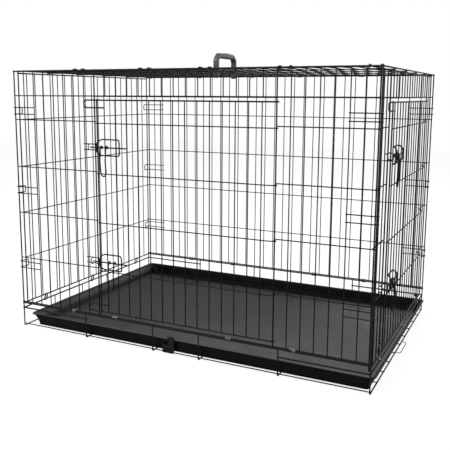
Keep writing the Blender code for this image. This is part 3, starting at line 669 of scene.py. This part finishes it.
def bolt_guide(wires, doorway, height):
    """The frame that carries a bolt: welded on above and below, and standing out at its sides."""
    left = doorway.latch + GUIDE_START
    right = left + GUIDE_LENGTH
    low, high = height - GUIDE_HEIGHT / 2, height + GUIDE_HEIGHT / 2
    level = DOOR_OUT + FLAT_WIRE + GAP + FRAME_GUIDE
    ease = GUIDE_EASE
    wires.bent([(left + ease, high, level), (right - ease, high, level),
                (right, high - ease, GUIDE_OUT), (right, low + ease, GUIDE_OUT),
                (right - ease, low, level), (left + ease, low, level),
                (left, low + ease, GUIDE_OUT), (left, high - ease, GUIDE_OUT)], GUIDE, GUIDE_BEND, True)
    for across in doorway.bars[:2]:
        for end in (low, high):
            wires.bead((across, end, level - GUIDE), X, ON_POST)


def bolt(name, doorway, height, place, node):
    """A sliding rod, behind its guide."""
    wires = Wires(name, resolution=4)
    start = doorway.latch + BOLT_TIP
    wires.path([Vector((start + along, height, BOLT_OUT)) for along in (0, BOLT_EDGE, BOLT_LENGTH)], LATCH)
    wires.finish(place, node, [node], BOLT_STEEL)


def pull(name, doorway, height, step, place, node):
    """A hairpin with both ends curled round the bolt, bulged out a little for the finger."""
    middle = doorway.latch + step
    half = PULL_WIDTH / 2
    low = height - PULL_LENGTH
    reach = FRAME_LATCH + FRAME_PULL + EYE_PLAY
    front = BOLT_OUT + PULL_EYE
    side = []
    for across in (middle - half, middle + half):
        centre = Vector((across, height, BOLT_OUT))
        eye = list(arc(centre, reach, *PULL_CURL, Z, Y))
        side.append(eye + [Vector((across, height - PULL_NECK, front)),
                           Vector((across, height - PULL_BULGE_SHARE * PULL_LENGTH, front + PULL_BULGE)),
                           Vector((across, low + half, front))])
    foot = [Vector((middle - half / 2, low, front)), Vector((middle + half / 2, low, front))]
    wires = Wires(name, resolution=4)
    wires.path(smoothed(side[0] + foot + side[1][::-1], PULL_BEND, False, 4), PULL)
    wires.finish(place, node, [node], BOLT_STEEL)


def door_set(prefix, doorway, place):
    """A door, and its bolts and pulls, which move on bodies of their own."""
    nodes = [f"{prefix}_door", f"{prefix}_upper_guide", f"{prefix}_lower_guide"]
    door(f"{prefix}_door_grille", doorway, place, f"{prefix}_door", nodes)
    for level, height in BOLT_HEIGHTS.items():
        name = f"{prefix}_{level}"
        bolt(f"{name}_bolt_rod", doorway, height, place, f"{name}_bolt")
        pull(f"{name}_pull_loop", doorway, height, PULL_STEPS[level], place, f"{name}_pull")


# Top and handle

def top_grille(place):
    """The top, with the hooks that drop over the front panel's rail."""
    wires = Wires("top_grille")
    half_depth = HALF_DEPTH - TOP_FRONT_GAP
    half_length = HALF_LENGTH - TOP_SIDE_GAP
    bars = bar_places(FRONT_BARS, CAGE_LENGTH)[1:-1]
    for across in bars:
        wires.straight((across, -half_depth - INTO_RAIL, 0), (across, half_depth + INTO_RAIL, 0), WIRE)
        for up in (-half_depth, half_depth):
            wires.bead((across, up, 0), X, ON_RAIL)
        for share in TOP_RAIL_SHARES:
            wires.bead((across, share * CAGE_DEPTH, -WELD_STEP / 2), X, ON_WIRE)
    for across in (-half_length, half_length):
        wires.straight((across, -half_depth - RAIL, 0), (across, half_depth + RAIL, 0), POST)
    for up in (-half_depth, half_depth):
        wires.straight((-half_length - POST, up, 0), (half_length + POST, up, 0), RAIL)
    for share in TOP_RAIL_SHARES:
        up = share * CAGE_DEPTH
        wires.straight((-half_length - POST, up, -WELD_STEP), (half_length + POST, up, -WELD_STEP), WIRE)
    out = FRAME_RAIL * FLAT + FLAT_WIRE - GAP
    front = -HALF_DEPTH - FRAME_RAIL - FRAME_WIRE - GAP
    for gap in TOP_HOOK_GAPS:
        middle = gap_place(gap, FRONT_BARS, CAGE_LENGTH)
        left, right = middle - TOP_HOOK_WIDTH / 2, middle + TOP_HOOK_WIDTH / 2
        back = -half_depth + RAIL + NUB
        wires.bent([(left, back, out), (left, front, out), (left, front, out - TOP_HOOK_DROP),
                    (right, front, out - TOP_HOOK_DROP), (right, front, out), (right, back, out)],
                   WIRE, TOP_HOOK_BEND)
        for across in (left, right):
            wires.bead((across, -half_depth, out / 2), X, ON_POST)
    wires.finish(place, "top", ["top_panel"])


def extruded(outline, depth, bevel, segments=3):
    """A flat outline (across, up) given a depth and soft edges."""
    bm = bmesh.new()
    face = bm.faces.new([bm.verts.new((across, up, -depth / 2)) for across, up in outline])
    pulled = bmesh.ops.extrude_face_region(bm, geom=[face])
    moved = [item for item in pulled["geom"] if isinstance(item, bmesh.types.BMVert)]
    bmesh.ops.translate(bm, verts=moved, vec=(0, 0, depth))
    sharp = [edge for edge in bm.edges if edge.calc_face_angle(0) > SHARP]
    bmesh.ops.bevel(bm, geom=sharp, offset=bevel, segments=segments, affect="EDGES", profile=0.5)
    return bm


def handle(place):
    """A grip on two legs, arched a little, with shallow ridges for the fingers below it."""
    half, side = HANDLE_SPAN / 2, HANDLE_WIDTH
    edge, inside = half + HANDLE_LEG / 2, half - HANDLE_LEG / 2
    rise = HANDLE_RISE
    right_side = [(edge - side, rise + side * HANDLE_SHOULDER), (edge, rise - side * HANDLE_OUTER),
                  (edge, -HANDLE_FOOT), (inside, -HANDLE_FOOT), (inside, rise - side * HANDLE_INNER),
                  (inside - side / 2, rise - side * HANDLE_UNDER)]
    ridges = []
    for number in range(HANDLE_RIDGES):
        across = (inside - side / 2) * (RIDGE_FIRST - RIDGE_STEP * number)
        drop = HANDLE_RIDGE if number % 2 else -HANDLE_RIDGE
        ridges.append((across, rise - side * RIDGE_UNDER - drop))
    left_side = [(-across, up) for across, up in reversed(right_side)]
    outline = [(0, rise + side * HANDLE_CROWN)] + right_side + ridges + left_side
    rounded = smoothed([(*point, 0) for point in outline], HANDLE_BEND, True, 4)
    bm = extruded([(point.x, point.y) for point in rounded], HANDLE_THICKNESS, HANDLE_BEVEL)
    turn = Matrix(((0, 0, 1), (1, 0, 0), (0, 1, 0))).to_4x4()
    bm.transform(place @ Matrix.Translation((0, HANDLE_AT, 0)) @ turn)
    piece("handle_grip", bm, "handle", ["carry_handle"], HANDLE_PLASTIC, angle=35)


# Base and tray

def base(place):
    """The floor's wires and the low rails round them; the tray slides out below the right end's."""
    wires = Wires("base_grille")
    floor_places = [BASE_STEP * step for step in FLOOR_STEPS]
    floor_places += [-HALF_DEPTH + EDGE_WIRE_INSET, HALF_DEPTH - EDGE_WIRE_INSET]
    for across in CROSS_PLACES:
        wires.bent([(across, -HALF_DEPTH, BASE_RAIL_HEIGHT), (across, -HALF_DEPTH, BASE),
                    (across, HALF_DEPTH, BASE), (across, HALF_DEPTH, BASE_RAIL_HEIGHT)], BASE, BEND)
        for up in floor_places:
            wires.bead((across, up, FLOOR_WIRE_Z - WIRE), X, ON_FLOOR)
        for up in (-HALF_DEPTH, HALF_DEPTH):
            wires.bead((across, up, BASE_RAIL_HEIGHT), X, ON_SIDE_RAIL)
    over = HALF_LENGTH + NUB + FRAME_BASE
    end_rails = ((-1, CROSS_PLACES[1], LEFT_RAIL_HEIGHT), (1, CROSS_PLACES[-2], RIGHT_RAIL_HEIGHT))
    for up in floor_places:
        wires.straight((-over, up, FLOOR_WIRE_Z), (over, up, FLOOR_WIRE_Z), WIRE)
    for up in (-HALF_DEPTH, HALF_DEPTH):
        wires.straight((-over, up, BASE_RAIL_HEIGHT), (over, up, BASE_RAIL_HEIGHT), RAIL)
        for side, across, height in end_rails:
            wires.straight((side * HALF_LENGTH, up, height),
                           (across - side * (NUB + FRAME_BASE), up, height), END_SIDE_RAIL)
            wires.bead((across, up, height), X, ON_END_RAIL)
            wires.bead((side * HALF_LENGTH, up, height), Y, ON_END_CORNER)
    for side, _, height in end_rails:
        wires.straight((side * HALF_LENGTH, -HALF_DEPTH - FRAME_BASE - NUB, height),
                       (side * HALF_LENGTH, HALF_DEPTH + FRAME_BASE + NUB, height), END_CROSS_RAIL)
    for step in LEFT_UPRIGHTS:
        wires.straight((-HALF_LENGTH, step * BASE_STEP, BASE),
                       (-HALF_LENGTH, step * BASE_STEP, LEFT_RAIL_HEIGHT + LEFT_UPRIGHT_NUB), WIRE)
        wires.bead((-HALF_LENGTH, step * BASE_STEP, LEFT_RAIL_HEIGHT), Y, ON_END_UPRIGHT)
    wires.finish(place, "frame", ["base_grid"])


def skin(bm, loops):
    """Faces between neighbouring loops of corners."""
    for low, high in zip(loops, loops[1:]):
        for index, corner in enumerate(low):
            after = (index + 1) % len(low)
            bm.faces.new((corner, low[after], high[after], high[index]))


def pan_outline(left, right, half_depth, corner, steps=10):
    """A rectangle with round corners."""
    low, high = -half_depth + corner, half_depth - corner
    centres = ((right - corner, high, 0), (left + corner, high, 90),
               (left + corner, low, 180), (right - corner, low, 270))
    for across, up, first in centres:
        for step in range(steps + 1):
            angle = math.radians(first + 90 * step / steps)
            yield across + corner * math.cos(angle), up + corner * math.sin(angle)


def tray():
    """The pan, with hollow-curved walls, a rounded lip and a fillet round its floor."""
    under = TRAY_TOP - TRAY_LIP_DEPTH
    lip, wall, rise = TRAY_LIP_WIDTH, TRAY_WALL, under - TRAY_Z
    soft, fillet = TRAY_EDGE, TRAY_FILLET
    cut_soft, cut_fillet = EDGE_CUT * soft, EDGE_CUT * fillet
    climb = [step / TRAY_CURVE_STEPS for step in range(1, TRAY_CURVE_STEPS + 1)]
    profile = [(0, -soft, TRAY_Z), (0, -cut_soft, TRAY_Z + cut_soft)]     # flare, way out, height
    profile += [(share ** TRAY_CURVE, 0, TRAY_Z + share * rise) for share in climb]
    profile += [(1, lip - soft, under), (1, lip - cut_soft, under + cut_soft), (1, lip, under + soft),
                (1, lip, TRAY_TOP - soft), (1, lip - cut_soft, TRAY_TOP - cut_soft),
                (1, lip - soft, TRAY_TOP), (1, -wall + soft, TRAY_TOP),
                (1, -wall + cut_soft, TRAY_TOP - cut_soft), (1, -wall, TRAY_TOP - soft)]
    profile += [(share ** TRAY_CURVE, -wall, TRAY_Z + wall + share * (rise - soft))
                for share in climb[-2::-1]]
    profile += [(0, -wall - cut_fillet, TRAY_Z + wall + cut_fillet), (0, -wall - fillet, TRAY_Z + wall)]
    bm = bmesh.new()
    loops = []
    for share, out, height in profile:
        side, left, right = (share * flare + out for flare in TRAY_FLARES)
        outline = pan_outline(-HALF_LENGTH + TRAY_LEFT_INSET - left,
                              HALF_LENGTH - TRAY_RIGHT_INSET + right,
                              HALF_DEPTH - TRAY_SIDE_INSET + side, TRAY_CORNER + side)
        loops.append([bm.verts.new((across, up, height)) for across, up in outline])
    bm.faces.new(loops[0])
    bm.faces.new(loops[-1])
    skin(bm, loops)
    bm.transform(MIDDLE)
    piece("tray_pan", bm, "tray", ["tray"], TRAY_PLASTIC, angle=30)


def catch():
    """Barrel on the floor wire, a boss above it, and a tab that hooks over the lip."""
    place = plane((CATCH_AT, -HALF_DEPTH + EDGE_WIRE_INSET, FLOOR_WIRE_Z), X, Z)
    stand = Matrix(((0, 0, 1), (0, 1, 0), (-1, 0, 0))).to_4x4()
    face = CATCH_BARREL - CATCH_PLAY / 2
    back = face - CATCH_THICKNESS
    top = CATCH_HEIGHT - FLOOR_WIRE_Z
    low = TRAY_TOP + CATCH_PLAY - FLOOR_WIRE_Z
    high = low + CATCH_THICKNESS
    boss_top = CATCH_BOSS_HEIGHT - FLOOR_WIRE_Z
    shapes = [([(CATCH_BARREL, 0), (CATCH_BARREL, boss_top), (GAP, boss_top), (GAP, 0)], 0, CATCH_WIDTH),
              ([(face, GAP), (face, top), (back, top), (back, high), (-CATCH_HOOK, high),
                (-CATCH_HOOK, low), (back, low), (back, GAP)], CATCH_TAB_SHIFT, CATCH_TAB_WIDTH)]
    bm = bmesh.new()
    for outline, shift, width in shapes:
        part = extruded([(-away, up) for away, up in outline], width, CATCH_BEVEL, 2)
        part.transform(Matrix.Translation((shift, 0, 0)) @ stand)
        loose = bpy.data.meshes.new("slab")
        part.to_mesh(loose)
        part.free()
        bm.from_mesh(loose)
    bore = FRAME_WIRE + 2 * GAP
    half = CATCH_WIDTH / 2
    neck, shoulder = CATCH_BARREL - BARREL_EDGE, half - BARREL_EDGE_WIDTH
    loops = []
    for radius, across in ((bore, -half), (bore, half), (neck, half + GAP), (CATCH_BARREL, shoulder),
                           (CATCH_BARREL, -shoulder), (neck, -half - GAP)):
        circle = arc(Vector(), radius, *BARREL_CIRCLE, Y, Z)
        loops.append([bm.verts.new(point + across * X) for point in circle])
    skin(bm, loops + loops[:1])
    bm.transform(place)
    piece("catch_clip", bm, "catch", ["tray_catch"], SMALL_PLASTIC, angle=35)


def stop(place):
    """A wire bail that lies flat, both of its ends resting on the last cross wire."""
    over = FRAME_BASE + FRAME_STOP + GAP
    reach = over / FLAT
    half = STOP_WIDTH / 2
    sides = []
    for across in (-half, half):
        sides.append([Vector((across, over - STOP_SEAT, -reach / 6)), Vector((across, over, reach / 2)),
                      Vector((across, 0, reach)), Vector((across, 0, STOP_LENGTH - STOP_CORNER))])
    foot = [Vector((across, 0, STOP_LENGTH)) for across in (-half + STOP_CORNER, half - STOP_CORNER)]
    wires = Wires("stop_bail")
    wires.bent(sides[0] + foot + sides[1][::-1], STOP_WIRE, STOP_BEND)
    wires.finish(place, "stop", ["tray_stop"])


def ring(name, place, first, second, radius, length, body, node):
    """A strip of dull zinc-plated metal closed round two wires, with soft edges."""
    first, second = Vector((0, *first)), Vector((0, *second))
    along = (second - first).normalized()
    side = X.cross(along)
    inner, soft, half = radius + RING_PLAY, RING_EDGE, length / 2
    outer = inner + RING_THICKNESS
    loops = []
    bm = bmesh.new()
    for reach, across in ((inner, -half + soft), (inner, half - soft), (inner + soft, half),
                          (outer - soft, half), (outer, half - soft), (outer, -half + soft),
                          (outer - soft, -half), (inner + soft, -half)):
        path = list(arc(first, reach, 90, 270, RING_STEPS, along, side))
        path += arc(second, reach, -90, 90, RING_STEPS, along, side)
        loops.append([bm.verts.new(point + across * X) for point in path])
    skin(bm, loops + loops[:1])
    bm.transform(place)
    piece(name, bm, body, [node], ZINC)


def rings(front, back, left, right, top):
    """The clips of every panel; across shifts each into its gap between two upright wires."""
    for prefix, place, gaps in (("front", front, FRONT_RING_GAPS), ("back", back, BACK_RING_GAPS)):
        for number, gap in enumerate(gaps, 1):
            across = Matrix.Translation((gap_place(gap, FRONT_BARS, CAGE_LENGTH), 0, 0))
            ring(f"{prefix}_clip_{number}", place @ across, (PANEL_BOTTOM, 0), (BASE_RAIL_HEIGHT, 0),
                 FRAME_RAIL, RING_LENGTH, "frame", f"{prefix}_ring_{number}")
    for prefix, place, bottom, rail in (("left_end", left, LEFT_END_BOTTOM, LEFT_RAIL_HEIGHT),
                                        ("right_end", right, RIGHT_END_BOTTOM, RIGHT_RAIL_HEIGHT)):
        for number, gap in enumerate(END_RING_GAPS, 1):
            across = Matrix.Translation((gap_place(gap, END_BARS, END_WIDTH), 0, 0))
            ring(f"{prefix}_clip_{number}", place @ across, (bottom, 0), (rail, END_INSET),
                 FRAME_END_RAIL, END_RING_LENGTH, "frame", f"{prefix}_ring_{number}")
    for number, gap in enumerate(TOP_RING_GAPS, 1):
        across = Matrix.Translation((gap_place(gap, FRONT_BARS, CAGE_LENGTH), HALF_DEPTH, 0))
        ring(f"top_clip_{number}", top @ across, (-TOP_FRONT_GAP, 0), (0, PANEL_TOP - TOP_Z),
             FRAME_RAIL, RING_LENGTH, "top", f"top_ring_{number}")


# Studio

def seen_rays(nodes, links):
    """1 for rays from the camera, also by way of a mirror or through glass, and 0 for soft light."""
    rays = nodes.new("ShaderNodeLightPath")
    seen = rays.outputs["Is Camera Ray"]
    for kind in ("Is Glossy Ray", "Is Transmission Ray"):
        either = nodes.new("ShaderNodeMath")
        either.operation = "MAXIMUM"
        links.new(seen, either.inputs[0])
        links.new(rays.outputs[kind], either.inputs[1])
        seen = either.outputs["Value"]
    return seen, rays.outputs["Is Camera Ray"]


def mixed(nodes, links, factor, first, second, output):
    """Two shaders mixed by a factor, into an output node."""
    mix = nodes.new("ShaderNodeMixShader")
    links.new(factor, mix.inputs["Fac"])
    links.new(first, mix.inputs[1])
    links.new(second, mix.inputs[2])
    links.new(mix.outputs["Shader"], nodes.new(output).inputs["Surface"])


def floor_material():
    """A matt pale surface that the camera sees partly lit and partly plain white.

    Reflections see it darker, at the strength FLOOR_MIRRORED.
    """
    made = bpy.data.materials.new("studio_white")
    made.use_nodes = True
    nodes, links = made.node_tree.nodes, made.node_tree.links
    nodes.clear()
    seen, straight = seen_rays(nodes, links)
    lit = nodes.new("ShaderNodeBsdfDiffuse")
    lit.inputs["Color"].default_value = (*FLOOR_WHITE, 1)
    plain = nodes.new("ShaderNodeEmission")
    bright = nodes.new("ShaderNodeMapRange")
    bright.inputs["To Min"].default_value = FLOOR_MIRRORED
    bright.inputs["To Max"].default_value = FLOOR_SEEN
    links.new(straight, bright.inputs["Value"])
    links.new(bright.outputs["Result"], plain.inputs["Strength"])
    share = nodes.new("ShaderNodeMath")
    share.operation = "MULTIPLY"
    share.inputs[1].default_value = FLOOR_PLAIN
    links.new(seen, share.inputs[0])
    mixed(nodes, links, share.outputs["Value"], lit.outputs["BSDF"], plain.outputs["Emission"],
          "ShaderNodeOutputMaterial")
    return made


def studio():
    """A pale floor, a white world and three soft lamps."""
    bpy.ops.mesh.primitive_plane_add(size=FLOOR_SIZE, location=(0, 0, FLOOR_Z))
    floor = bpy.context.object
    floor.name = "studio_floor"
    floor.data.materials.append(floor_material())
    world = bpy.data.worlds.new("studio_world")
    bpy.context.scene.world = world
    world.use_nodes = True
    nodes, links = world.node_tree.nodes, world.node_tree.links
    nodes.clear()
    skies = []
    for strength in (WORLD_LIGHT, WORLD_SEEN):
        sky = nodes.new("ShaderNodeBackground")
        sky.inputs["Color"].default_value = (1, 1, 1, 1)
        sky.inputs["Strength"].default_value = strength
        skies.append(sky.outputs["Background"])
    mixed(nodes, links, seen_rays(nodes, links)[0], *skies, "ShaderNodeOutputWorld")
    for name, location, size, power in LAMPS:
        lamp(name, location, size, power)
    bpy.context.scene.view_settings.view_transform = "Standard"


def lamp(name, location, size, power):
    """A square lamp that faces LAMP_AIM."""
    light = bpy.data.lights.new(name, "AREA")
    light.size = size
    light.energy = power
    holder = bpy.data.objects.new(name, light)
    holder.location = location
    aim = Vector(LAMP_AIM) - Vector(location)
    holder.rotation_euler = aim.to_track_quat("-Z", "Y").to_euler()
    bpy.context.scene.collection.objects.link(holder)


def camera():
    """The photograph's camera, fitted to the cage's corners and wires."""
    yaw, pitch, roll = CAMERA_YAW, CAMERA_PITCH, CAMERA_ROLL
    ahead = Vector((math.sin(yaw) * math.cos(pitch), math.cos(yaw) * math.cos(pitch), math.sin(pitch)))
    level = Vector((math.cos(yaw), -math.sin(yaw), 0))
    over = level.cross(ahead)
    across = math.cos(roll) * level + math.sin(roll) * over
    up = -math.sin(roll) * level + math.cos(roll) * over
    data = bpy.data.cameras.new("camera")
    data.lens = CAMERA_LENS
    data.sensor_width = CAMERA_SENSOR
    data.shift_x = CAMERA_SHIFT_X
    data.shift_y = CAMERA_SHIFT_Y
    data.clip_end = CAMERA_REACH
    holder = bpy.data.objects.new("camera", data)
    turn = Matrix((across, up, -ahead)).transposed().to_4x4()
    holder.matrix_world = MIDDLE @ Matrix.Translation(CAMERA_PLACE) @ turn
    bpy.context.scene.collection.objects.link(holder)
    bpy.context.scene.camera = holder


def build():
    """Every piece, in its place in the frame."""
    front = plane((0, -HALF_DEPTH, 0), X, Z)
    back = plane((0, HALF_DEPTH, 0), -X, Z)
    left = plane((-END_X, 0, 0), -Y, Z)
    right = plane((END_X, 0, 0), Y, Z)
    top = plane((0, 0, TOP_Z), X, Y)
    base(MIDDLE)
    panels(front, back, left, right)
    top_grille(top)
    handle(top)
    door_set("front", Doorway(FRONT_BARS, CAGE_LENGTH, DOOR_FIRST_FRONT, PANEL_BOTTOM), front)
    door_set("end", Doorway(END_BARS, END_WIDTH, DOOR_FIRST_END, RIGHT_END_BOTTOM), right)
    stop(plane((HALF_LENGTH, STOP_AT, CROSS_Z), Y, Z))
    rings(front, back, left, right, top)
    tray()
    catch()


build()
studio()
camera()
